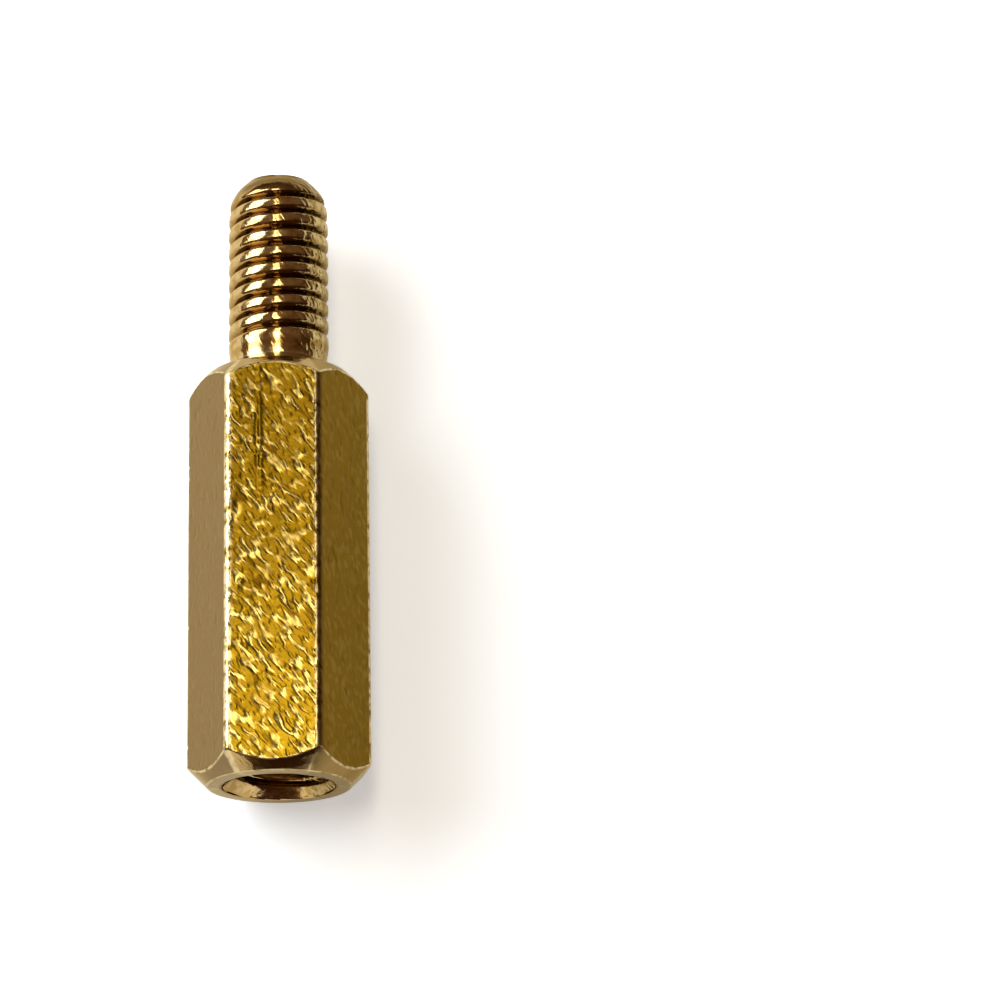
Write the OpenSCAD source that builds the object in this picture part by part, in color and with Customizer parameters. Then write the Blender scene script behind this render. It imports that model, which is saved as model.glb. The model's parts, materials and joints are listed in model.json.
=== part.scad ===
// Male-female hex standoff, turned from one length of hexagonal brass bar.
// It lies on one flat of the hexagon: the bar's axis runs along Y, the stud points to +Y,
// the tapped end faces -Y, and the origin is under the middle of its length. Millimetres.
// The two M3 threads are left plain: the stud at its crests, the hole at its tapping drill.

/* [Hex body] */
// Width across the flats of the bar
across_flats = 4.5; // [4:0.1:6]
// Length of the hex body, from the tapped end to the shoulder
body_length = 12; // [10:0.5:30]
// How much is rounded off each corner of the bar, measured on the radius
corner_break = 0.03; // [0.02:0.01:0.12]
// Depth of the turned end chamfers, measured on the radius at the middle of a flat
end_chamfer = 0.25; // [0.1:0.05:0.4]
// Angle of the turned end chamfers from the end face
end_chamfer_angle = 45; // [30:5:60]

/* [Thread size] */
// Nominal diameter of both threads
thread_size = 3; // [2.5:0.1:3.1]
// Pitch of both threads
thread_pitch = 0.5; // [0.4:0.05:0.6]

/* [Threaded stud] */
// Length of the stud, from the shoulder to its tip
stud_length = 6; // [4:0.5:12]
// How far the crests of the stud stay under the nominal diameter
crest_allowance = 0.12; // [0.04:0.01:0.14]
// Length of the plain shank next to the shoulder
shank_length = 0.35; // [0.2:0.05:1.5]
// Length over which the first thread rises from the shank to its full height
runout_length = 0.55; // [0.5:0.05:1]
// How far the plain shank lies below the crests, measured on the radius
shank_relief = 0.07; // [0.03:0.01:0.15]
// Size of the 45 degree fillet between the shank and the shoulder
root_fillet = 0.1; // [0.05:0.01:0.2]
// Depth of the 45 degree chamfer at the tip, measured on the radius
tip_chamfer = 0.6; // [0.2:0.05:0.7]

/* [Tapped hole] */
// Depth of the full-width drilled hole, from the tapped end
hole_depth = 8; // [5:0.5:9]
// Angle of the cone that the drill leaves at the bottom
drill_point_angle = 118; // [90:1:140]
// Width of the 45 degree countersink at the mouth, measured on the radius
mouth_chamfer = 0.35; // [0.1:0.05:0.4]

/* [Hidden] */

// Facets that the turned surfaces are drawn with
turned_facets = 120;
// How far one solid reaches into or past another where they are joined or cut
overlap = 0.5;

// The bar
flat_height = across_flats / 2;
sharp_corner_r = flat_height / cos(30);
corner_r = sharp_corner_r - corner_break;
face_r = flat_height - end_chamfer;
chamfer_run = (corner_r - face_r) * tan(end_chamfer_angle);

// The stud
crest_r = (thread_size - crest_allowance) / 2;
shank_r = crest_r - shank_relief;
tip_r = crest_r - tip_chamfer;

// The hole
tap_drill_r = (thread_size - thread_pitch) / 2;
mouth_r = tap_drill_r + mouth_chamfer;
drill_point_run = tap_drill_r / tan(drill_point_angle / 2);

// Overall length, which the origin is in the middle of
overall_length = body_length + stud_length;

// Turns a half section, with the radius first and the distance from the tapped end second.
module turned(half_section) {
    rotate_extrude($fn = turned_facets) polygon(half_section);
}

// The bar, faced to length, with both ends chamfered in the lathe. The cones cut the flats
// in curved edges, because the bar's corners stand further from the axis than its flats.
module hex_body() {
    intersection() {
        cylinder(h = body_length, r = sharp_corner_r, $fn = 6);
        turned([
            [0, 0],
            [face_r, 0],
            [corner_r, chamfer_run],
            [corner_r, body_length - chamfer_run],
            [face_r, body_length],
            [0, body_length]
        ]);
    }
}

// The stud: a fillet and a plain shank at the shoulder, the run-out of the thread, the threaded
// length at its crests, and a chamfered tip.
module stud() {
    runout_start = body_length + shank_length;
    turned([
        [0, body_length - overlap],
        [shank_r + root_fillet, body_length - overlap],
        [shank_r + root_fillet, body_length],
        [shank_r, body_length + root_fillet],
        [shank_r, runout_start],
        [crest_r, runout_start + runout_length],
        [crest_r, overall_length - tip_chamfer],
        [tip_r, overall_length],
        [0, overall_length]
    ]);
}

// The blind hole: a countersunk mouth, the tapping drill's bore, and the drill's cone.
module tapped_hole() {
    turned([
        [0, -overlap],
        [mouth_r + overlap, -overlap],
        [tap_drill_r, mouth_chamfer],
        [tap_drill_r, hole_depth],
        [0, hole_depth + drill_point_run]
    ]);
}

// The whole standoff, laid down on one flat with its axis along Y.
module hex_standoff() {
    color("#b5892f")
    translate([0, -overall_length / 2, flat_height])
    rotate([-90, 0, 0])
    difference() {
        union() {
            hex_body();
            stud();
        }
        tapped_hole();
    }
}

hex_standoff();
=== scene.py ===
"""A male-female hex standoff in brass: its hexagonal bar, its threads, its finishes and the stage."""

import json
import logging
import math
import random
from dataclasses import dataclass
from enum import Enum
from typing import Iterable

import bmesh
import bpy
from bmesh.types import BMEdge, BMesh, BMVert
from bpy.types import ID, Material, Node, NodeSocket, NodeTree, Object
from mathutils import Matrix, Vector, noise

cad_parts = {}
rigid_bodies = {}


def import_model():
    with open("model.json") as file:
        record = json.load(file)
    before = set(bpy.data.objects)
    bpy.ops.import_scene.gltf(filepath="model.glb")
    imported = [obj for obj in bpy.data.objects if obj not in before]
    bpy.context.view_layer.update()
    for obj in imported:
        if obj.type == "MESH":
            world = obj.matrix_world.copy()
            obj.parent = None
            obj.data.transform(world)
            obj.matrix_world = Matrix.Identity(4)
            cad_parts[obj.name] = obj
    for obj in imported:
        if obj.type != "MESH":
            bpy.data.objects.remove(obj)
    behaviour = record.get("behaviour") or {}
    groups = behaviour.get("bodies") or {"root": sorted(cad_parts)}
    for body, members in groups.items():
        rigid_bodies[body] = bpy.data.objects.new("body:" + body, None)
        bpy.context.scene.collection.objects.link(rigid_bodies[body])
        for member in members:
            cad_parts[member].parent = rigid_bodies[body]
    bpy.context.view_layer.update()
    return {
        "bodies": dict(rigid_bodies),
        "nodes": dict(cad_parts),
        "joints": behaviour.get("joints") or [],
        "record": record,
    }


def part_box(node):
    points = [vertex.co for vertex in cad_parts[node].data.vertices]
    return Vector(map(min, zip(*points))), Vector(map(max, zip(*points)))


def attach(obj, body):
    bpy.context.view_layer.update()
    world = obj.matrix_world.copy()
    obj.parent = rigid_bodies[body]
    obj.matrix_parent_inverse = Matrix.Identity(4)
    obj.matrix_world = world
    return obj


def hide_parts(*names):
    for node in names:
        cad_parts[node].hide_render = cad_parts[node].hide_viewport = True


Pair = tuple[float, float]
Colour = tuple[float, float, float]
Value = NodeSocket | float | tuple

log = logging.getLogger("standoff")

NODE = "hex_standoff"
BODY = "root"
MM = 0.001
TURN = 2 * math.pi
MERGE = 1e-5
SEAM_MERGE = 1e-4
# Painted shade on round surfaces: more film towards +X darkens that side, and some towards -X.
SHADE_FILM_RISE = (0.05, 0.8)
FAR_SHADE_FILM_RISE = (0.2, 0.9)
FAR_SHADE_FILM = 0.4
# The masks carry real marks and painted light together: wear with painted highlight, film with painted side
# shade, dirt with painted shade, and a painted grey reflection tone.
MASKS = ("edge_wear", "torn", "filmed", "grime", "greyed")


class Surface(Enum):
    """The three ways in which the metal's surface was made, by material index."""

    DRAWN = 0
    TURNED = 1
    THREAD = 2


def smooth_step(low: float, high: float, value: float) -> float:
    """Reads a smooth rise from 0 at low to 1 at high."""
    share = min(1.0, max(0.0, (value - low) / (high - low)))
    return share * share * (3 - 2 * share)


def soft_min(first: float, second: float, blend: float) -> float:
    """Takes the smaller of two radii, rounded over where they differ by less than blend."""
    near = max(blend - abs(first - second), 0.0) / blend
    return min(first, second) - near * near * blend / 4


def side_film_and_shade(place: Vector) -> float:
    """Gives how much film and painted shade cover a round surface, from 0 to 1: most of it towards +X,
    painting that side darker, and some towards -X.
    """
    side = place.y / max(place.xy.length, MERGE)
    return smooth_step(*SHADE_FILM_RISE, side) + FAR_SHADE_FILM * smooth_step(*FAR_SHADE_FILM_RISE, -side)


def bar_noise(point: Vector, round_waves: float, long_waves: float) -> float:
    """Reads a noise that has its own waves per millimetre across the bar and along it."""
    return noise.noise(Vector((point.x * round_waves, point.y * round_waves, point.z * long_waves)))


@dataclass(frozen=True)
class Sizes:
    """The standoff's sizes in millimetres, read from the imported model.

    Distances along the axis are counted from the tapped end.
    """

    length: float
    across_flats: float
    across_corners: float
    crest_r: float
    tap_r: float
    shoulder: float

    @classmethod
    def from_frame(cls, frame: dict) -> "Sizes":
        """Reads the node's box and the mounts.


        Returns:
            The sizes.
        """
        low, high = (Vector(corner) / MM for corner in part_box(NODE))
        mounts = {mount["name"]: mount for mount in frame["record"]["mounts"]}
        return cls(
            length=high.y - low.y,
            across_flats=high.z - low.z,
            across_corners=high.x - low.x,
            crest_r=mounts["stud"]["dims"]["r_mm"],
            tap_r=mounts["tapped_hole"]["dims"]["r_mm"],
            shoulder=mounts["shoulder"]["pos_m"][1] / MM - low.y,
        )

    def laid_down(self) -> Matrix:
        """Gives the step from the lathe's frame to the standoff's own.

        Returns:
            A matrix from millimetres, with the axis along Z from the tapped end and X towards
            the top flat, to metres, with the axis along Y and the lowest flat at Z = 0.
        """
        axes = Matrix(((0, 1, 0), (0, 0, 1), (1, 0, 0))).to_4x4()
        place = Matrix.Translation((0, -self.length / 2, self.across_flats / 2))
        return Matrix.Scale(MM, 4) @ place @ axes


def ring_edges(verts: Iterable) -> list:
    """Finds the edges that join the given points to each other.

    Args:
        verts: the points of a ring.

    Returns:
        Each of its edges, once.
    """
    chosen = set(verts)
    edges = [edge for vert in chosen for edge in vert.link_edges if edge.verts[0] == vert]
    return [edge for edge in edges if edge.verts[1] in chosen]


def faces_of(verts: Iterable) -> set:
    """Collects the faces that the given points belong to."""
    return {face for vert in verts for face in vert.link_faces}


def with_links(verts: list) -> list:
    """Lists the given points, and the edges and faces that they belong to."""
    return verts + list({edge for vert in verts for edge in vert.link_edges}) + list(faces_of(verts))


def new_object(name: str, data: ID) -> Object:
    """Makes an object and links it to the scene.

    Args:
        name: its name.
        data: its mesh, light or camera.

    Returns:
        The object.
    """
    made = bpy.data.objects.new(name, data)
    bpy.context.collection.objects.link(made)
    return made


def mesh_object(name: str, bm: BMesh, materials: list) -> Object:
    """Makes a finished mesh an object in the scene.

    Args:
        name: the object's name.
        bm: the mesh, which is freed.
        materials: its materials in order.

    Returns:
        The object.
    """
    mesh = bpy.data.meshes.new(name)
    bm.to_mesh(mesh)
    bm.free()
    for material in materials:
        mesh.materials.append(material)
    return new_object(name, mesh)


class Shell:
    """One closed skin in the lathe's frame, in millimetres, joined from walls of revolution."""

    def __init__(self) -> None:
        """Starts an empty skin, with the masks that the finishes read."""
        self.bm = bmesh.new()
        for name in MASKS:
            self.bm.verts.layers.float.new(name)
        self.edge_wear, self.torn, self.filmed, self.grime, self.greyed = (
            self.bm.verts.layers.float[name] for name in MASKS
        )

    def added(self, known: set) -> list:
        """Lists the points that the skin has gained since the known ones were noted."""
        return [vert for vert in self.bm.verts if vert not in known]

    def sweep(self, outline: list[Pair], steps: int, climb: float = 0.0) -> None:
        """Sweeps an outline once round the axis.

        Args:
            outline: radius and distance along the axis of each point.
            steps: how many steps the full turn has.
            climb: how far it moves along the axis. Without a climb the wall closes on itself.
        """
        bm = self.bm
        line = [bm.verts.new((radius, 0, at)) for radius, at in outline]
        whole = line + [bm.edges.new(pair) for pair in zip(line, line[1:])]
        way = {"cent": (0, 0, 0), "axis": (0, 0, 1), "dvec": (0, 0, climb / steps)}
        bmesh.ops.spin(bm, geom=whole, angle=TURN, steps=steps, use_merge=not climb, **way)

    def turn(self, outline: list[Pair], steps: int) -> tuple[list, list]:
        """Turns an outline round the axis.

        Args:
            outline: radius and distance along the axis of each point.
            steps: how many steps the full turn has.

        Returns:
            The edges of the ring at the outline's first point, and of that at its last.
        """
        known = set(self.bm.verts)
        self.sweep(outline, steps)
        poles = [vert for vert in self.added(known) if vert.co.xy.length < MERGE]
        bmesh.ops.remove_doubles(self.bm, verts=poles, dist=MERGE)
        made, rings = self.added(known), []
        for radius, at in (outline[0], outline[-1]):
            ring = [v for v in made if abs(v.co.z - at) < MERGE and abs(v.co.xy.length - radius) < MERGE]
            rings.append(ring_edges(ring))
        return rings[0], rings[1]

    def bridge(self, first: list, second: list, surface: Surface) -> None:
        """Joins two rings of edges with a band of faces of the given surface."""
        for face in bmesh.ops.bridge_loops(self.bm, edges=first + second)["faces"]:
            face.material_index = surface.value

    def finish(self, name: str, place: Matrix, materials: list) -> Object:
        """Makes the skin an object in the scene.

        Args:
            name: the piece's name.
            place: the step from the lathe's frame to the standoff's own.
            materials: the finishes, in the order of Surface.

        Returns:
            The object, smooth-shaded, with its normals outwards.
        """
        self.bm.transform(place)
        bmesh.ops.recalc_face_normals(self.bm, faces=self.bm.faces)
        for face in self.bm.faces:
            face.smooth = True
        return mesh_object(name, self.bm, materials)


@dataclass(frozen=True)
class Thread:
    """A helical thread between two distances along the axis, in millimetres."""

    start: float
    end: float
    root_r: float
    crest_r: float
    pitch: float = 0.5
    phase: float = 0.4
    steps: int = 120
    # The power that narrows the bright crest, partly wear and partly painted highlight.
    crest_wear_and_highlight: int = 3
    least_torn: float = 0.5
    side_torn: float = 2.5
    torn_rise: Pair = (0.2, 0.8)
    form: tuple[Pair, ...] = (
        (0, 1), (0.16, 0.99), (0.24, 0.95), (0.3, 0.85), (0.35, 0.68), (0.42, 0.3), (0.46, 0.1), (0.5, 0)
    )

    def height(self, across: float) -> float:
        """Reads the rounded 60 degree form.

        Args:
            across: the place across the pitch, in pitches from a crest.

        Returns:
            0 at the root and 1 at the crest.
        """
        across %= 1.0
        across = min(across, 1 - across)
        for (start, high), (end, low) in zip(self.form, self.form[1:]):
            if across <= end:
                return high + (low - high) * (across - start) / (end - start)
        return self.form[-1][1]

    def radius(self, along: float, across: float) -> float:
        """Gives a full thread's radius. The two kinds of thread add their ends to it."""
        return self.root_r + (self.crest_r - self.root_r) * self.height(across)

    def dirt_and_shade_at(self, along: float, across: float) -> float:
        """Gives how dark a place on the wall is painted, dirt and painted shade together: most of it in the
        root.
        """
        return 1 - self.height(across)

    def cut(self, shell: Shell) -> tuple[list, list]:
        """Winds one turn of the wall, stacks copies of it and trims them square at both ends.

        Args:
            shell: the skin to add it to.

        Returns:
            The edges of the ring at the start, and of that at the end.
        """
        bm = shell.bm
        known = set(bm.verts)
        half = [place for place, _ in self.form]
        places = half + [1 - place for place in reversed(half[:-1])]
        first = self.phase + (math.floor((self.start - self.phase) / self.pitch) - 1) * self.pitch
        turns = math.ceil((self.end - first) / self.pitch) + 1
        shell.sweep([(1, first + place * self.pitch) for place in places], self.steps, self.pitch)
        strip = with_links(shell.added(known))
        for turn in range(1, turns):
            copy = bmesh.ops.duplicate(bm, geom=strip)["geom"]
            verts = [item for item in copy if isinstance(item, BMVert)]
            bmesh.ops.translate(bm, verts=verts, vec=(0, 0, self.pitch * turn))
        bmesh.ops.remove_doubles(bm, verts=shell.added(known), dist=SEAM_MERGE)
        for vert in shell.added(known):
            across = (vert.co.z - self.phase) / self.pitch - math.atan2(vert.co.y, vert.co.x) / TURN
            along = min(max(vert.co.z, self.start), self.end)
            vert.co.xy = vert.co.xy.normalized() * self.radius(along, across)
            # Crests painted bright: partly wear, partly painted highlight.
            vert[shell.edge_wear] = self.height(across) ** self.crest_wear_and_highlight
            # Painted shade, mostly on the side towards +X.
            vert[shell.filmed] = side_film_and_shade(vert.co)
            # Dirt and painted shade in the thread's root.
            vert[shell.grime] = self.dirt_and_shade_at(along, across)
            side = vert.co.y / vert.co.xy.length
            vert[shell.torn] = self.least_torn + self.side_torn * smooth_step(*self.torn_rise, side)
        rings = []
        for plane, way in ((self.start, -1), (self.end, 1)):
            wall = with_links(shell.added(known))
            made = bmesh.ops.bisect_plane(
                bm, geom=wall, dist=MERGE, plane_co=(0, 0, plane), plane_no=(0, 0, way), clear_outer=True
            )["geom_cut"]
            rings.append([item for item in made if isinstance(item, BMEdge)])
        for face in faces_of(shell.added(known)):
            face.material_index = Surface.THREAD.value
        return rings[0], rings[1]


@dataclass(frozen=True)
class StudThread(Thread):
    """The stud's thread, which runs out on the shank and is turned down at the tip."""

    shank_relief: float = 0.07
    blank_rise: float = 0.55
    groove_start: float = 0.5
    groove_rise: float = 0.4
    tip: float = 18.0
    tip_chamfer: float = 0.6
    taper_start: float = 1.5
    taper_end: float = 0.3
    taper: float = 0.06
    edge_round: float = 0.3
    ragged: float = 0.02
    tears_per_turn: float = 26.0
    tears_per_pitch: float = 5.0
    fade_start: float = 0.95
    fade_end: float = 0.4
    # How much darker the tip is painted.
    tip_darkening: float = 0.8

    def grooved(self, along: float) -> float:
        """Gives how fully the groove is cut after the plain shank, from 0 to 1."""
        first = self.start + self.groove_start
        return smooth_step(first, first + self.groove_rise, along)

    def faded(self, along: float) -> float:
        """Gives how far the groove has faded out towards the tip, from 0 to 1."""
        return smooth_step(self.tip - self.fade_start, self.tip - self.fade_end, along)

    def radius(self, along: float, across: float) -> float:
        """Gives the stud's radius, from the plain shank to the chamfered tip.

        Args:
            along: the distance along the axis.
            across: the place across the pitch, in pitches from a crest.

        Returns:
            The radius there.
        """
        rise = min(1.0, (along - self.start) / self.blank_rise)
        taper = self.taper * smooth_step(self.tip - self.taper_start, self.tip - self.taper_end, along)
        blank = self.crest_r - self.shank_relief * (1 - rise) - taper
        cut = self.grooved(along) * (1 - self.faded(along))
        groove = (self.crest_r - self.root_r) * (1 - self.height(across)) * cut
        chamfer = self.crest_r - self.tip_chamfer + self.tip - along
        turns = (along - self.phase) / self.pitch - across
        tear = noise.noise(Vector((turns * self.tears_per_turn, across * self.tears_per_pitch, 0)))
        tear *= self.ragged * cut
        return soft_min(blank - groove - abs(tear), chamfer, self.edge_round)

    def dirt_and_shade_at(self, along: float, across: float) -> float:
        """Gives the dirt and painted shade in the groove, which the plain shank has less of; the tip is
        painted evenly darker.
        """
        groove, tip = super().dirt_and_shade_at(along, across) * self.grooved(along), self.faded(along)
        return groove * (1 - tip) + self.tip_darkening * tip


@dataclass(frozen=True)
class HoleThread(Thread):
    """The tapped hole's thread, countersunk at the mouth and fading out above the drill point."""

    mouth_r: float = 1.6
    mouth_round: float = 0.04
    lead: float = 1.0
    plain_end: float = 0.1
    # The hole is painted darker deeper in: dirt and painted shade.
    darkening_starts: float = 0.7
    darkening_full: float = 1.8

    def radius(self, along: float, across: float) -> float:
        """Gives the hole's radius, from the countersunk mouth to the plain drilled wall.

        Args:
            along: the distance along the axis.
            across: the place across the pitch, in pitches from a crest.

        Returns:
            The radius there.
        """
        full = super().radius(along, across)
        cut = 1 - smooth_step(self.end - self.lead, self.end - self.plain_end, along)
        wall = self.crest_r + (full - self.crest_r) * cut
        return -soft_min(-wall, -(self.mouth_r - along), self.mouth_round)

    def dirt_and_shade_at(self, along: float, across: float) -> float:
        """Gives the dirt and painted shade in the groove, which the countersunk mouth has less of, darker
        deeper in the hole.
        """
        return super().dirt_and_shade_at(along, across) * smooth_step(self.darkening_starts, self.darkening_full, along)


@dataclass(frozen=True)
class Dent:
    """One shallow dent in a flat, in millimetres on the flat's own plane."""

    flat: int
    across: float
    along: float
    length: float
    width: float
    lean: float
    depth: float
    fall: float = 2.0
    edge: float = 4.0

    def press(self, across: float, along: float) -> float:
        """Reads how deep the dent is.

        Args:
            across: the place across the flat.
            along: the place along the axis.

        Returns:
            The depth there.
        """
        right, up = across - self.across, along - self.along
        reach = self.length + self.width
        if abs(right) > reach or abs(up) > reach:
            return 0.0
        cos, sin = math.cos(self.lean), math.sin(self.lean)
        run = (up * cos - right * sin) / self.length
        side = (right * cos + up * sin) / self.width
        spread = run * run + side * side
        return self.depth * math.exp(-self.fall * spread) if spread < self.edge else 0.0


@dataclass(frozen=True)
class HexBar:
    """The body: hexagonal bar with rounded corners, its ends faced and chamfered on the lathe."""

    length: float
    across_flats: float
    across_corners: float
    face_r: float = 2.0
    inner_r: float = 1.7
    edge_round: float = 0.05
    edge_rows: int = 3
    face_rows: int = 2
    chamfer_rows: int = 3
    rows: int = 236
    columns: tuple[int, ...] = (60, 36, 14, 14, 14, 36)
    corner_columns: int = 8
    scratch: tuple[Dent, ...] = (
        Dent(flat=0, across=-0.36, along=9.6, length=2.3, width=0.06, lean=0.015, depth=0.011),
        Dent(flat=0, across=-0.46, along=9.6, length=2.1, width=0.06, lean=0.015, depth=-0.006),
    )
    dents_per_flat: int = 22
    dent_seed: int = 12
    dent_margin: float = 0.5
    dent_lengths: Pair = (0.12, 0.3)
    dent_widths: Pair = (0.07, 0.14)
    dent_leans: Pair = (-0.5, 0.9)
    dent_depths: Pair = (0.006, 0.02)
    torn: tuple[float, ...] = (1.0, 0.1, 0.3, 0.5, 0.3, 0.05)
    # Film per flat, mostly painted shade: the two upper side flats are painted darker than the top flat.
    filmed: tuple[float, ...] = (0.0, 0.95, 0.5, 0.3, 0.3, 0.9)
    # Painted reflection tone: the upper left flat fully grey, the hidden flats half.
    greyed: tuple[float, ...] = (0.0, 0.0, 0.5, 0.5, 0.5, 1.0)
    corner_torn: float = 0.3
    orange_peel: float = 0.004
    peel_waves: Pair = (1.1, 0.8)
    nick_depth: float = 0.018
    nick_waves: Pair = (2.0, 5.5)
    nick_rise: Pair = (0.25, 0.6)
    corner_near: float = 0.06
    corner_far: float = 0.04
    corner_blend: float = 0.1
    # How bright each corner is rubbed: partly wear, mostly painted highlight, brightest on the upper left
    # corner.
    corner_wear_and_highlight: tuple[float, ...] = (0.0, 0.3, 0.5, 0.5, 0.3, 1.0)
    # Painted shade: a dark band along the upper right corner, the top flat darker towards the stud, and
    # darker end faces and chamfers.
    corner_shade: float = 0.5
    corner_shade_blend: Pair = (0.02, 0.05)
    top_far_shade: float = 0.4
    top_shade_from: float = 0.05
    top_shade_to: float = 0.75
    end_face_shade: float = 0.5
    chamfer_shade: float = 0.2

    @property
    def corner_round(self) -> float:
        """The radius that rounds the bar's corners to its width across them."""
        sharp = self.across_flats / 2 / math.cos(math.radians(30))
        return (sharp - self.across_corners / 2) / (1 / math.cos(math.radians(30)) - 1)

    @property
    def half_flat(self) -> float:
        """Half the width of a flat, up to where its corner's rounding starts."""
        return (self.across_flats / 2 - self.corner_round) * math.tan(math.radians(30))

    @property
    def end_rows(self) -> int:
        """How many rows the face, the chamfer and their edges take at each end."""
        return self.face_rows + self.chamfer_rows + 2 * self.edge_rows + 2

    def dents(self) -> list[Dent]:
        """Draws the long scratch in the top flat, and scatters small knocks over all six.

        Returns:
            All the dents.
        """
        dice = random.Random(self.dent_seed)
        half = self.across_flats / 2 / math.sqrt(3)
        made = list(self.scratch)
        for flat in range(6):
            for _ in range(self.dents_per_flat):
                across = dice.uniform(-half, half)
                along = dice.uniform(self.dent_margin, self.length - self.dent_margin)
                ranges = (self.dent_lengths, self.dent_widths, self.dent_leans, self.dent_depths)
                made.append(Dent(flat, across, along, *(dice.uniform(*ends) for ends in ranges)))
        return made

    def walk(self) -> list[tuple[int, float, float, float]]:
        """Walks once round the bar's section.

        Returns:
            For each column: the flat, the place across it, and the point's two coordinates.
            The last column lies on the first.
        """
        inner, half, stops = self.across_flats / 2 - self.corner_round, self.half_flat, []
        for flat, count in enumerate(self.columns):
            facing = Matrix.Rotation(math.radians(60 * flat), 2)
            for step in range(count):
                across = -half + 2 * half * step / count
                point = facing @ Vector((self.across_flats / 2, across))
                stops.append((flat, across, point.x, point.y))
            corner = facing @ Vector((inner, half))
            for step in range(self.corner_columns):
                bend = math.radians(60 * flat + 60 * step / self.corner_columns)
                point = corner + self.corner_round * Vector((math.cos(bend), math.sin(bend)))
                across = half + self.corner_round * math.radians(60) * step / self.corner_columns
                stops.append((flat, across, point.x, point.y))
        return stops + stops[:1]

    def outline(self, radius: float) -> list[tuple[float, float, float]]:
        """Walks from the tapped end's face to the shoulder, at one place round the bar.

        Args:
            radius: the bar's own radius at that place.

        Returns:
            For each row: the radius, the distance along the axis, and 1 on a turned edge.
        """
        deep = radius - self.face_r
        half = [(self.inner_r, 0), (self.face_r, 0), (radius, deep)]
        knots = [Vector(knot) for knot in half + [(out, self.length - at) for out, at in reversed(half)]]
        counts = (self.face_rows, self.chamfer_rows, self.rows, self.chamfer_rows, self.face_rows)
        rows = [(knots[0].x, knots[0].y, 0.0)]
        for index, count in enumerate(counts):
            start, end = knots[index], knots[index + 1]
            way = (end - start).normalized()
            first = start if index == 0 else start + way * self.edge_round
            last = end if index == len(counts) - 1 else end - way * self.edge_round
            for step in range(1 if index == 0 else 0, count + 1):
                point = first.lerp(last, step / count)
                rows.append((point.x, point.y, 0.0))
            if index < len(counts) - 1:
                onward = (knots[index + 2] - end).normalized() * self.edge_round
                for step in range(1, self.edge_rows + 1):
                    share = step / (self.edge_rows + 1)
                    point = last.lerp(end, share).lerp(end.lerp(end + onward, share), share)
                    rows.append((point.x, point.y, 1.0))
        return rows

    def near_corner(self, across: float) -> float:
        """Gives how near a place across a flat is to a corner: 1 on it and 0 well inside."""
        low, high = self.half_flat - self.corner_near, self.half_flat + self.corner_far
        return 1.0 if across >= self.half_flat else smooth_step(low, high, abs(across))

    def lost(self, point: Vector, across: float, dents: list[Dent]) -> float:
        """Gives how much lower than a new bar one point of the drawn skin lies.

        Args:
            point: the point on a new bar.
            across: its place across the flat.
            dents: the dents in its flat.

        Returns:
            The drop, in millimetres.
        """
        sunk = sum(dent.press(across, point.z) for dent in dents)
        roll = bar_noise(point, *self.peel_waves)
        return sunk + self.orange_peel * (roll + 1) / 2

    def nicked(self, point: Vector, across: float) -> float:
        """Gives how deep the corners are nicked at a point."""
        nick = smooth_step(*self.nick_rise, bar_noise(point, *self.nick_waves))
        return self.nick_depth * self.near_corner(across) * nick

    def mask(self, shell: Shell, vert: BMVert, flat: int, across: float, along: float) -> None:
        """Writes how one point is worn with a painted highlight, torn, filmed with painted shade, given a
        painted grey reflection tone, and soiled with painted shade.

        Args:
            shell: the skin that the point is in.
            vert: the point.
            flat: the number of its flat, from the top one on.
            across: its place across the flat.
            along: its distance along the axis.
        """
        corner, half = self.near_corner(across), self.half_flat
        onward = smooth_step(half - self.corner_blend, half + self.corner_round, across)
        # Wear and painted highlight along the corners: the upper left corner fully, the upper right one
        # fading to none.
        if across > 0:
            vert[shell.edge_wear] = corner * (1 - onward * (1 - self.corner_wear_and_highlight[flat]))
        else:
            vert[shell.edge_wear] = corner * self.corner_wear_and_highlight[flat - 1]
        vert[shell.torn] = self.torn[flat] if across < half else self.corner_torn
        # Painted shade: each flat's film blends into the next one's across the corner.
        after = self.filmed[(flat + 1) % 6]
        vert[shell.filmed] = self.filmed[flat] + (after - self.filmed[flat]) * onward
        # Painted grey reflection tone, fading out onto the corner.
        vert[shell.greyed] = self.greyed[flat] * (1 - onward)
        # Painted shade on the top flat: darker towards the stud, with a dark band at its upper right
        # corner.
        if flat == 0:
            before, past = self.corner_shade_blend
            onto_corner = smooth_step(half - before, half + past, across)
            start, full = self.top_shade_from * self.length, self.top_shade_to * self.length
            top = self.top_far_shade * smooth_step(start, full, along)
            vert[shell.grime] = top + (self.corner_shade - top) * onto_corner
        # Painted shade: the dark band goes on along the upper right flat's edge.
        if flat == 1:
            away = smooth_step(-half, self.corner_blend - half, across)
            vert[shell.grime] = self.corner_shade * (1 - away)

    def make(self, shell: Shell) -> tuple[list, list]:
        """Rolls a grid onto the bar and presses the marks of use into it.

        Args:
            shell: the skin to add it to.

        Returns:
            The edges of the inner ring at the tapped end, and of that at the shoulder.
        """
        bm = shell.bm
        stops = self.walk()
        outlines = [self.outline(math.hypot(x, y)) for _, _, x, y in stops]
        columns, rows = len(stops) - 1, len(outlines[0]) - 1
        grid = bmesh.ops.create_grid(bm, x_segments=columns, y_segments=rows, size=0.5)["verts"]
        dents = self.dents()
        by_flat = [[dent for dent in dents if dent.flat == flat] for flat in range(6)]
        seam, rings, from_end = [], ([], []), {}
        for vert in grid:
            column = round((vert.co.x + 0.5) * columns)
            row = round((vert.co.y + 0.5) * rows)
            flat, across, x, y = stops[column]
            radius, along, edge = outlines[column][row]
            point = Vector((x, y, along))
            from_end[vert] = min(row, rows - row)
            self.mask(shell, vert, flat, across, along)
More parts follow.
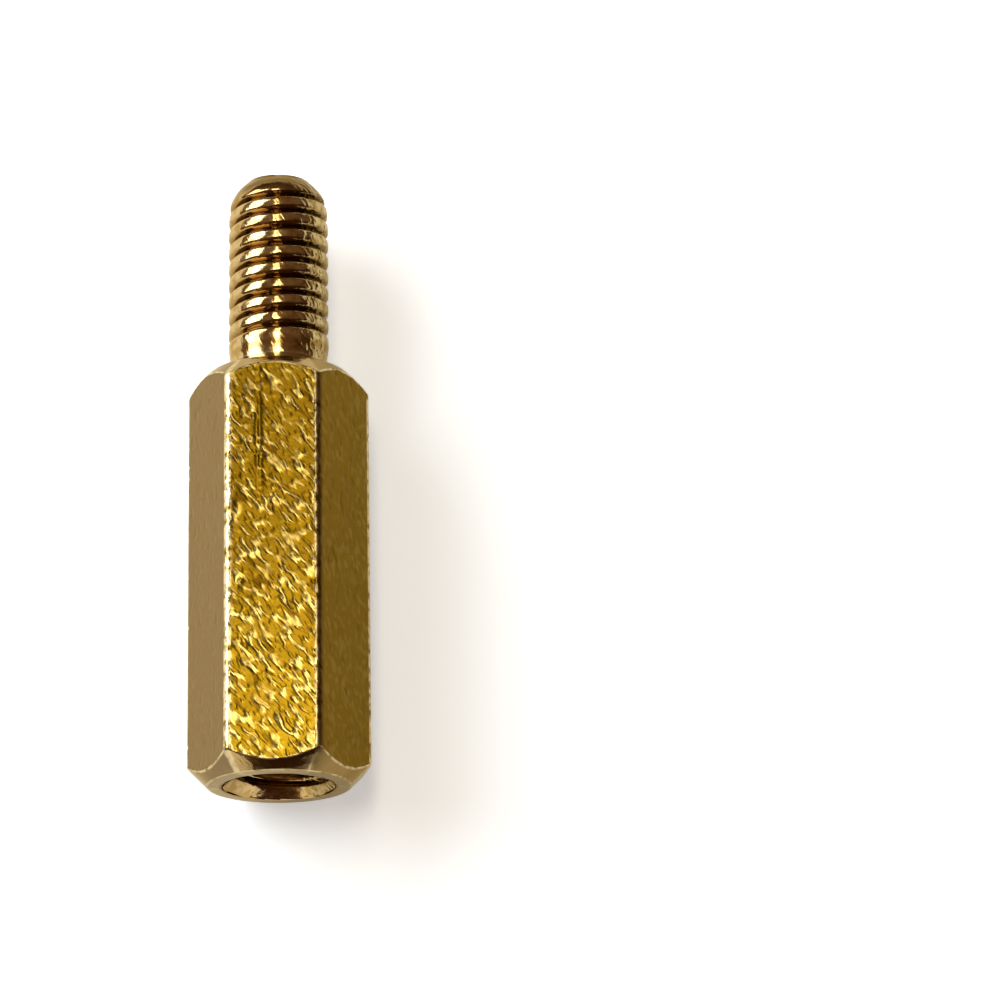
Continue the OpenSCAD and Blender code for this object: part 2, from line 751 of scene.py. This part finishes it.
            # Turned edges painted bright: wear and painted highlight.
            vert[shell.edge_wear] = max(edge, vert[shell.edge_wear])
            if from_end[vert] > self.end_rows:
                radius -= self.lost(point, across, by_flat[flat])
            # Painted shade on the end faces and chamfers.
            elif from_end[vert] < self.face_rows + self.edge_rows:
                vert[shell.grime] = self.end_face_shade
            else:
                vert[shell.grime] = self.chamfer_shade
            radius -= self.nicked(point, across)
            vert.co = (*(point.xy.normalized() * radius), along)
            if column in (0, columns):
                seam.append(vert)
            if row in (0, rows):
                rings[row == rows].append(vert)
        for face in faces_of(grid):
            drawn = all(from_end[vert] >= self.end_rows - 2 for vert in face.verts)
            face.material_index = (Surface.DRAWN if drawn else Surface.TURNED).value
        bmesh.ops.remove_doubles(bm, verts=seam, dist=MERGE)
        return tuple(ring_edges(vert for vert in ring if vert.is_valid) for ring in rings)


@dataclass(frozen=True)
class Standoff:
    """The whole standoff: bar, tapped hole and threaded stud, as one closed skin.

    Its threads are shallower than standard ones, which at M3 x 0.5 are about 0.3 mm deep.
    """

    sizes: Sizes
    steps: int = 120
    hole_steps: int = 72
    shank_length: float = 0.35
    shank_relief: float = 0.07
    fillet: float = 0.1
    drill_depth: float = 8.0
    drill_point_angle: float = 118.0
    thread_depth: float = 0.19
    hole_thread_end: float = 7.0
    tip_flat: float = 0.1
    tip_drops: tuple[Pair, ...] = (
        (0.8, 0.06), (0.7, 0.035), (0.5, 0.012), (0.25, 0), (0, 0)
    )
    point_shares: tuple[float, ...] = (0.6, 0.25, 0.0)
    fillet_steps: int = 4
    join_gap: float = 0.04
    drill_gap: float = 0.05
    turned_torn: float = 0.8

    def shank_outline(self) -> list[Pair]:
        """Draws the fillet at the shoulder and the plain shank after it.

        Returns:
            The outline, ending short of the thread.
        """
        at, shank_r, points = self.sizes.shoulder, self.sizes.crest_r - self.shank_relief, []
        for step in range(self.fillet_steps + 1):
            bend = math.radians(90) * step / self.fillet_steps
            out = shank_r + self.fillet * (1 - math.sin(bend))
            points.append((out, at + self.fillet * (1 - math.cos(bend))))
        return points + [(shank_r, at + self.shank_length - self.join_gap)]

    def drill_outline(self, start: float) -> list[Pair]:
        """Draws the drilled wall under the thread and the drill's point.

        Args:
            start: where the thread has ended.

        Returns:
            The outline, ending on the axis.
        """
        tap_r, depth = self.sizes.tap_r, self.drill_depth
        drop = tap_r / math.tan(math.radians(self.drill_point_angle / 2))
        point = [(tap_r * share, depth + drop * (1 - share)) for share in self.point_shares]
        return [(tap_r, start + self.drill_gap), (tap_r, depth)] + point

    def tip_outline(self) -> list[Pair]:
        """Draws the stud's faced tip, turned down a little at its rim."""
        return [(radius, self.sizes.length - drop) for radius, drop in self.tip_drops]

    def build(self, materials: list) -> Object:
        """Joins the walls from the drill's point round to the stud's tip.

        Args:
            materials: the finishes, in the order of Surface.

        Returns:
            The finished piece.
        """
        sizes, shell = self.sizes, Shell()
        hole = HoleThread(
            start=0.0,
            end=self.hole_thread_end,
            root_r=sizes.tap_r + self.thread_depth,
            crest_r=sizes.tap_r,
            steps=self.hole_steps,
        )
        stud = StudThread(
            start=sizes.shoulder + self.shank_length,
            end=sizes.length - self.tip_flat,
            root_r=sizes.crest_r - self.thread_depth,
            crest_r=sizes.crest_r,
            steps=self.steps,
            shank_relief=self.shank_relief,
            tip=sizes.length,
        )
        bar = HexBar(sizes.shoulder, sizes.across_flats, sizes.across_corners)
        drilled, _ = shell.turn(self.drill_outline(hole.end), hole.steps)
        root, shank = shell.turn(self.shank_outline(), self.steps)
        rim, _ = shell.turn(self.tip_outline(), self.steps)
        for face in shell.bm.faces:
            face.material_index = Surface.TURNED.value
        for vert in shell.bm.verts:
            vert[shell.torn] = self.turned_torn
            # Painted shade on the turned surfaces' sides, as on the thread.
            vert[shell.filmed] = side_film_and_shade(vert.co)
            # The tip is painted darker.
            vert[shell.grime] = stud.tip_darkening if vert.co.z > sizes.length - stud.fade_end else 0.0
        mouth, bottom = hole.cut(shell)
        thread_start, thread_end = stud.cut(shell)
        bar_end, bar_shoulder = bar.make(shell)
        pairs = [(bar_end, mouth), (bottom, drilled), (bar_shoulder, root)]
        for first, second in pairs + [(shank, thread_start), (thread_end, rim)]:
            shell.bridge(first, second, Surface.TURNED)
        return shell.finish("standoff", sizes.laid_down(), materials)


class Nodes:
    """A node tree under construction."""

    def __init__(self, tree: NodeTree) -> None:
        """Keeps the tree."""
        self.tree = tree

    def wire(self, node: Node, inputs: dict) -> None:
        """Sets or links a node's inputs.

        Args:
            node: the node.
            inputs: for each input by name or number, a value or another node's output.
        """
        for name, value in inputs.items():
            if isinstance(value, NodeSocket):
                self.tree.links.new(value, node.inputs[name])
            else:
                node.inputs[name].default_value = value

    def add(self, kind: str, inputs: dict | None = None, **settings: object) -> Node:
        """Adds a node.

        Args:
            kind: the node type's name after ShaderNode, such as Bump.
            inputs: what wire() takes.
            settings: the node's own properties.

        Returns:
            The node.
        """
        node = self.tree.nodes.new(kind if kind.startswith("Node") else "ShaderNode" + kind)
        for name, value in settings.items():
            setattr(node, name, value)
        self.wire(node, inputs or {})
        return node

    def math(self, operation: str, *values: Value) -> NodeSocket:
        """Adds a Math node, and gives its result."""
        return self.add("Math", dict(enumerate(values)), operation=operation).outputs[0]

    def ramp(self, value: Value, low: float, high: float) -> NodeSocket:
        """Adds a smooth rise from 0 at low to 1 at high, and gives its result."""
        inputs = {"Value": value, "From Min": low, "From Max": high}
        return self.add("MapRange", inputs, interpolation_type="SMOOTHSTEP").outputs["Result"]

    def mix(self, factor: Value, first: Value, second: Value) -> NodeSocket:
        """Adds a colour mix, and gives its result."""
        return self.add("Mix", {0: factor, 6: first, 7: second}, data_type="RGBA").outputs[2]

    def noise(self, place: NodeSocket, scale: float, detail: float = 2.0, rough: float = 0.5) -> NodeSocket:
        """Adds a noise of the given scale, in waves per metre, and gives its value."""
        inputs = {"Vector": place, "Scale": scale, "Detail": detail, "Roughness": rough}
        return self.add("TexNoise", inputs).outputs[0]


def node_group(name: str, inputs: dict[str, Value], outputs: dict[str, str]) -> tuple[Nodes, dict, Node]:
    """Starts a shader node group that takes a position.

    Args:
        name: the effect's name.
        inputs: for each further input its name and default, which has four numbers for a colour.
        outputs: for each output its name and kind.

    Returns:
        The nodes, the inputs' sockets inside the group, and the node that takes its outputs.
    """
    tree = bpy.data.node_groups.new(name, "ShaderNodeTree")
    tree.interface.new_socket("Position", in_out="INPUT", socket_type="NodeSocketVector")
    for label, value in inputs.items():
        kind = "NodeSocketFloat" if isinstance(value, float) else "NodeSocketColor"
        tree.interface.new_socket(label, in_out="INPUT", socket_type=kind).default_value = value
    for label, kind in outputs.items():
        tree.interface.new_socket(label, in_out="OUTPUT", socket_type="NodeSocket" + kind)
    nodes = Nodes(tree)
    return nodes, nodes.add("NodeGroupInput").outputs, nodes.add("NodeGroupOutput")


def drawn_relief() -> NodeTree:
    """Builds the drawn bar's skin: short slanted tears between smoother patches.

    Returns:
        The node group.
    """
    nodes, given, out = node_group(
        "drawn relief",
        {"Slant": math.radians(-40), "Fineness": 6000.0},
        {"Height": "Float", "Pits": "Float", "Crests": "Float"},
    )
    turned = nodes.add(
        "VectorRotate", {"Vector": given["Position"], "Angle": given["Slant"]}, rotation_type="Z_AXIS"
    ).outputs[0]
    stretched = nodes.add("VectorMath", {0: turned, 1: (1.0, 0.4, 1.0)}, operation="MULTIPLY").outputs[0]
    sway = nodes.add("TexNoise", {"Vector": given["Position"], "Scale": 1800.0, "Detail": 1.0})
    reach = {0: sway.outputs["Color"], "Scale": 0.8e-4}
    sway = nodes.add("VectorMath", reach, operation="SCALE").outputs[0]
    place = nodes.add("VectorMath", {0: stretched, 1: sway}, operation="ADD").outputs[0]
    patch = nodes.ramp(nodes.noise(given["Position"], scale=1400.0), low=0.36, high=0.6)
    tear = nodes.noise(place, scale=given["Fineness"], detail=0.0)
    tears = nodes.ramp(tear, low=0.44, high=0.84)
    least = 0.4
    patchy = nodes.math("MULTIPLY_ADD", patch, 1 - least, least)
    # These crests take the burnished colour, partly a painted highlight.
    crests = nodes.math("MULTIPLY", nodes.ramp(tear, low=0.5, high=0.66), patchy)
    grain = nodes.ramp(nodes.noise(place, scale=9500.0, detail=0.0), low=0.46, high=0.8)
    grain_share = 0.4
    height = nodes.math("MULTIPLY_ADD", grain, grain_share, nodes.math("MULTIPLY", tears, patchy))
    pits = nodes.ramp(nodes.noise(place, scale=4600.0, detail=0.0), low=0.6, high=0.78)
    nodes.wire(out, {"Height": height, "Pits": pits, "Crests": crests})
    return nodes.tree


def oxide_film_and_shade() -> NodeTree:
    """Builds the thin brown film that dulls brass in cloudy patches and in small specks, with a cover laid
    over it that is mostly painted shade.

    Returns:
        The node group.
    """
    nodes, given, out = node_group(
        "oxide film",
        {"Bright": (1, 1, 1, 1), "Dull": (0, 0, 0, 1), "Amount": 0.5, "Cover": 0.0},
        {"Color": "Color", "Film": "Float"},
    )
    cloud = nodes.noise(given["Position"], scale=900.0, detail=3.0, rough=0.6)
    speck = nodes.ramp(nodes.noise(given["Position"], scale=9000.0, detail=1.0), low=0.7, high=0.78)
    film = nodes.math("MULTIPLY", nodes.ramp(cloud, low=0.3, high=0.72), given["Amount"])
    film = nodes.math("MAXIMUM", film, nodes.math("MULTIPLY", speck, given["Amount"]))
    blotch = nodes.noise(given["Position"], scale=1700.0, detail=3.0, rough=0.6)
    blotch = nodes.ramp(blotch, low=0.35, high=0.62)
    thin, gain = 0.88, 0.14
    # The cover is mostly painted shade on the sides, broken up by blotches.
    cover = nodes.math("MULTIPLY", given["Cover"], nodes.math("MULTIPLY_ADD", blotch, gain, thin))
    film = nodes.math("MAXIMUM", film, cover)
    nodes.wire(out, {"Color": nodes.mix(film, given["Bright"], given["Dull"]), "Film": film})
    return nodes.tree


def worn_edge_and_highlight() -> NodeTree:
    """Builds the rubbed bright line along edges, broken up along its length: partly wear, partly painted
    highlight.

    Returns:
        The node group.
    """
    nodes, given, out = node_group("worn edge", {"Edge": 0.0, "Amount": 0.6}, {"Mask": "Float"})
    broken = nodes.ramp(nodes.noise(given["Position"], scale=4200.0), low=0.32, high=0.6)
    rubbed_highlight = nodes.math("MULTIPLY", nodes.math("MULTIPLY", given["Edge"], broken), given["Amount"])
    nodes.wire(out, {"Mask": rubbed_highlight})
    return nodes.tree


def tool_marks() -> NodeTree:
    """Builds the fine rings that a lathe tool leaves, round the axis and along it.

    Returns:
        The node group.
    """
    nodes, given, out = node_group("tool marks", {"Axis height": 0.0, "Feed": 3e-5}, {"Height": "Float"})
    parts = nodes.add("SeparateXYZ", {0: given["Position"]}).outputs
    rise = nodes.math("SUBTRACT", parts[2], given["Axis height"])
    square = nodes.math("MULTIPLY_ADD", parts[0], parts[0], nodes.math("MULTIPLY", rise, rise))
    travel = nodes.math("ADD", nodes.math("SQRT", square), parts[1])
    turns = nodes.math("MULTIPLY", nodes.math("DIVIDE", travel, given["Feed"]), TURN)
    nodes.wire(out, {"Height": nodes.math("SINE", turns)})
    return nodes.tree


def new_material(name: str) -> tuple[Material, Nodes, Node]:
    """Starts a material.

    Args:
        name: its name.

    Returns:
        The material, its nodes and its shader.
    """
    material = bpy.data.materials.new(name)
    material.use_nodes = True
    return material, Nodes(material.node_tree), material.node_tree.nodes["Principled BSDF"]


@dataclass(frozen=True)
class BrassFinish:
    """One finish on the brass. Its colours suit strong lamps, and are darker than clean brass."""

    name: str
    bright: Colour = (0.42, 0.30, 0.13)
    dull: Colour = (0.26, 0.165, 0.05)
    # Colour of rubbed edges: partly bare metal, partly painted highlight.
    rubbed_highlight: Colour = (0.85, 0.71, 0.4)
    # Colour of the painted grey reflection tone.
    reflection_grey: Colour = (0.216, 0.14, 0.068)
    # Colour of dirt and painted shade.
    dirt_shade_colour: Colour = (0.05, 0.028, 0.01)
    film: float = 0.5
    # Colour of the tears' crests: partly burnish, partly painted highlight.
    burnished_highlight: Colour = (0.6, 0.5, 0.22)
    # How strongly dirt and painted shade darken the metal.
    dirt_shade_amount: float = 0.9
    # How strongly the rubbed edges and their painted highlight show.
    wear_and_highlight_amount: float = 0.6
    # How much burnish and painted highlight the crests of the tears take.
    burnish_highlight: float = 0.0
    # How much painted shade, partly dirt, darkens the relief's pits.
    pit_dirt_and_shade: float = 0.0
    roughness: float = 0.2
    film_roughness: float = 0.2
    edge_roughness: float = 0.12
    edge_tint: Colour = (0.9, 0.8, 0.6)
    relief: float = 0.0
    fineness: float = 6000.0
    pits: float = 0.0
    pitted_below: float = 1.15
    marks: float = 0.0
    axis_height: float = 0.0

    def skin(
        self, nodes: Nodes, masks: dict, relief: Node, film: Node, rubbed_highlight: NodeSocket
    ) -> tuple[NodeSocket, NodeSocket]:
        """Lays the colours over each other, from the film and painted shade up to the dirt and painted
        shade.

        Args:
            nodes: the material's nodes.
            masks: the outputs of the object's masks by name.
            relief: the drawn relief.
            film: the oxide film, with painted shade in its cover.
            rubbed_highlight: the output that says how bare the edges are and how much painted highlight
                they carry.

        Returns:
            The outputs for the colour and the roughness.
        """
        dirt_shade_colour, torn = (*self.dirt_shade_colour, 1), masks["torn"]
        # Crests of the tears painted bright: partly burnish, partly painted highlight.
        crests = nodes.math("MULTIPLY", relief.outputs["Crests"], torn)
        crests = nodes.math("MINIMUM", nodes.math("MULTIPLY", crests, self.burnish_highlight), 1.0)
        colour = nodes.mix(crests, film.outputs["Color"], (*self.burnished_highlight, 1))
        # Pits painted darker: painted shade, partly dirt.
        hollows = nodes.math("MULTIPLY", relief.outputs["Pits"], torn)
        colour = nodes.mix(nodes.math("MULTIPLY", hollows, self.pit_dirt_and_shade), colour, dirt_shade_colour)
        # Rubbed edges painted bright: wear and painted highlight.
        colour = nodes.mix(rubbed_highlight, colour, (*self.rubbed_highlight, 1))
        # Dirt and painted shade.
        colour = nodes.mix(nodes.math("MULTIPLY", masks["grime"], self.dirt_shade_amount), colour, dirt_shade_colour)
        rough = nodes.math("MULTIPLY_ADD", film.outputs["Film"], self.film_roughness, self.roughness)
        return colour, nodes.math("MULTIPLY_ADD", rubbed_highlight, self.edge_roughness, rough)

    def normal(self, nodes: Nodes, torn: NodeSocket, relief: Node, rings: NodeSocket) -> NodeSocket:
        """Gives the normal with the tears, the pits and the lathe's rings in it.

        Args:
            nodes: the material's nodes.
            torn: the output of the mask for torn metal.
            relief: the drawn relief.
            rings: the output for the height of the lathe's rings.

        Returns:
            The output for the normal.
        """
        height = nodes.math("MULTIPLY", relief.outputs["Height"], torn)
        smoother = nodes.math("MAXIMUM", nodes.math("SUBTRACT", self.pitted_below, torn), 0.0)
        pits = nodes.math("MULTIPLY", relief.outputs["Pits"], smoother)
        height = nodes.math("MULTIPLY_ADD", pits, -self.pits, height)
        normal = nodes.add("Bump", {"Height": height, "Distance": self.relief, "Strength": 1.0}).outputs[0]
        if not self.marks:
            return normal
        inputs = {"Height": rings, "Distance": self.marks, "Strength": 1.0, "Normal": normal}
        return nodes.add("Bump", inputs).outputs[0]

    def build(self, groups: dict[str, NodeTree]) -> Material:
        """Makes the material.

        Args:
            groups: the shared effects by name.

        Returns:
            The material.
        """
        material, nodes, shader = new_material(self.name)
        material.diffuse_color = (*self.bright, 1)
        place = nodes.add("TexCoord").outputs["Object"]
        masks = {name: nodes.add("Attribute", attribute_name=name).outputs["Fac"] for name in MASKS}
        inputs = {"Position": place, "Edge": masks["edge_wear"], "Amount": self.wear_and_highlight_amount}
        # Wear and painted highlight along the edges.
        rubbed_highlight = nodes.add("Group", inputs, node_tree=groups["worn edge"]).outputs["Mask"]
        inputs = {"Position": place, "Fineness": self.fineness}
        relief = nodes.add("Group", inputs, node_tree=groups["drawn relief"])
        inputs = {"Position": place, "Axis height": self.axis_height}
        rings = nodes.add("Group", inputs, node_tree=groups["tool marks"]).outputs["Height"]
        # The film colour turns to the painted grey reflection tone where that mask is set.
        dull = nodes.mix(masks["greyed"], (*self.dull, 1), (*self.reflection_grey, 1))
        inputs = {"Position": place, "Bright": (*self.bright, 1), "Dull": dull, "Amount": self.film}
        # The film's cover carries the painted side shade.
        film = nodes.add("Group", inputs | {"Cover": masks["filmed"]}, node_tree=groups["oxide film"])
        colour, rough = self.skin(nodes, masks, relief, film, rubbed_highlight)
        normal = self.normal(nodes, masks["torn"], relief, rings)
        nodes.wire(shader, {"Base Color": colour, "Roughness": rough, "Normal": normal})
        nodes.wire(shader, {"Metallic": 1.0, "Specular Tint": (*self.edge_tint, 1)})
        return material


def way_to(azimuth: float, elevation: float) -> Vector:
    """Gives the direction at an azimuth from +Y towards +X and an elevation, both in degrees."""
    turn, rise = math.radians(azimuth), math.radians(elevation)
    return Vector((math.sin(turn) * math.cos(rise), math.cos(turn) * math.cos(rise), math.sin(rise)))


@dataclass(frozen=True)
class Softbox:
    """A rectangular soft light, placed by direction round the standoff."""

    name: str
    azimuth: float
    elevation: float
    width: float
    height: float
    radiance: float
    colour: Colour = (1.0, 1.0, 1.0)
    distance: float = 0.3

    def hang(self) -> Object:
        """Places the light, facing the standoff.

        Returns:
            The light's object.
        """
        lamp = bpy.data.lights.new(self.name, "AREA")
        lamp.shape = "RECTANGLE"
        lamp.size, lamp.size_y = self.width, self.height
        lamp.color = self.colour
        lamp.energy = self.radiance * math.pi * self.width * self.height
        light = new_object(self.name, lamp)
        out = way_to(self.azimuth, self.elevation)
        facing = (-out).to_track_quat("-Z", "Y").to_matrix().to_4x4()
        light.matrix_world = Matrix.Translation(out * self.distance) @ facing
        return light


@dataclass(frozen=True)
class Stage:
    """The white surface that the standoff lies on, with its lights and the room round it."""

    half_width: float = 1.5
    floor_colour: Colour = (0.88, 0.94, 1.0)
    lift: float = 0.46
    room: Colour = (0.2, 0.125, 0.08)
    dark_side: Colour = (0.058, 0.023, 0.01)
    dark_way: tuple[float, float, float] = (0.55, -0.8, 0.24)
    lights: tuple[Softbox, ...] = (
        Softbox("window", -62.0, 34.5, 0.26, 0.17, 7.4, (0.96, 0.98, 1.0)),
        Softbox("ceiling strip", 0.0, 70.0, 0.042, 0.24, 5.0, (1.0, 0.91, 0.66)),
        Softbox("ceiling lamp", 0.0, 83.5, 0.08, 0.09, 5.0, (1.0, 0.92, 0.75)),
        Softbox("low lamp", -145.0, 7.0, 0.1, 0.07, 1.4, (1.0, 0.93, 0.75)),
    )

    def floor(self) -> Object:
        """Lays the floor, which shows white where no shadow falls.

        Returns:
            The floor's object.
        """
        bm = bmesh.new()
        bmesh.ops.create_grid(bm, x_segments=1, y_segments=1, size=self.half_width)
        material, nodes, shader = new_material("white floor")
        path = nodes.add("LightPath").outputs
        seen = nodes.math("MAXIMUM", path["Is Camera Ray"], path["Is Glossy Ray"])
        seen = nodes.math("MAXIMUM", seen, path["Is Transmission Ray"])
        glow = nodes.math("MULTIPLY", seen, self.lift)
        nodes.wire(shader, {"Emission Color": (1, 1, 1, 1), "Emission Strength": glow})
        look = {"Base Color": (*self.floor_colour, 1), "Roughness": 0.9, "Specular IOR Level": 0.0}
        nodes.wire(shader, look)
        floor = mesh_object("floor", bm, [material])
        return floor

    def light_room(self) -> None:
        """Hangs the lights and gives the room its own level."""
        for light in self.lights:
            light.hang()
        world = bpy.data.worlds.new("room")
        bpy.context.scene.world = world
        world.use_nodes = True
        nodes = Nodes(world.node_tree)
        way = nodes.add("TexCoord").outputs["Generated"]
        inputs = {0: way, 1: self.dark_way}
        turned = nodes.add("VectorMath", inputs, operation="DOT_PRODUCT").outputs["Value"]
        dark = nodes.ramp(turned, low=0.3, high=0.8)
        colour = nodes.mix(dark, (*self.room, 1), (*self.dark_side, 1))
        nodes.wire(nodes.tree.nodes["Background"], {"Color": colour})


@dataclass(frozen=True)
class Viewpoint:
    """The camera: where it looks, from which side and how it is turned."""

    target: tuple[float, float, float] = (0.00624, -0.00010, 0.0)
    azimuth: float = -2.98
    elevation: float = 72.55
    roll: float = 4.2
    distance: float = 0.1156
    lens: float = 143.8

    def place(self) -> Object:
        """Makes the camera and gives it to the scene.

        Returns:
            The camera's object.
        """
        forward = way_to(self.azimuth, -self.elevation)
        right = way_to(self.azimuth + 90, 0)
        up = Matrix.Rotation(math.radians(self.roll), 3, forward) @ right.cross(forward)
        right = forward.cross(up)
        data = bpy.data.cameras.new("camera")
        data.lens = self.lens
        data.clip_start = 0.001
        camera = new_object("camera", data)
        pose = Matrix((right, up, -forward)).transposed().to_4x4()
        camera.matrix_world = Matrix.Translation(Vector(self.target) - forward * self.distance) @ pose
        bpy.context.scene.camera = camera
        return camera


def main() -> None:
    """Builds the standoff, dresses it and sets the stage."""
    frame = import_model()
    sizes = Sizes.from_frame(frame)
    bpy.context.scene.view_settings.view_transform = "Standard"
    Viewpoint().place()
    stage = Stage()
    stage.floor()
    stage.light_room()
    groups = {tree.name: tree for tree in (drawn_relief(), oxide_film_and_shade(), worn_edge_and_highlight(), tool_marks())}
    finishes = {
        Surface.DRAWN: BrassFinish(
            "drawn brass",
            bright=(0.158, 0.097, 0.0042),
            dull=(0.146, 0.077, 0.0045),
            dirt_shade_colour=(0.03, 0.01, 0.0006),
            burnished_highlight=(0.52, 0.4, 0.125),
            film=0.25,
            burnish_highlight=0.9,
            pit_dirt_and_shade=0.6,
            relief=1.2e-5,
            fineness=6900.0,
            pits=0.8,
            wear_and_highlight_amount=0.9,
        ),
        Surface.TURNED: BrassFinish(
            "turned brass",
            roughness=0.11,
            film_roughness=0.1,
            relief=3.5e-6,
            marks=2e-7,
            axis_height=sizes.across_flats / 2 * MM,
        ),
        Surface.THREAD: BrassFinish(
            "cut thread brass",
            bright=(0.45, 0.27, 0.085),
            dull=(0.225, 0.134, 0.028),
            roughness=0.1,
            film_roughness=0.1,
            film=0.4,
            wear_and_highlight_amount=0.3,
            dirt_shade_amount=0.92,
            relief=1.4e-5,
            fineness=3900.0,
            burnish_highlight=0.1,
            dirt_shade_colour=(0.06, 0.028, 0.007),
        ),
    }
    materials = [finishes[surface].build(groups) for surface in Surface]
    standoff = Standoff(sizes).build(materials)
    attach(standoff, BODY)
    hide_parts(NODE)
    log.info("%s: %d faces", standoff.name, len(standoff.data.polygons))


if __name__ == "__main__":
    logging.basicConfig(level=logging.INFO)
    main()
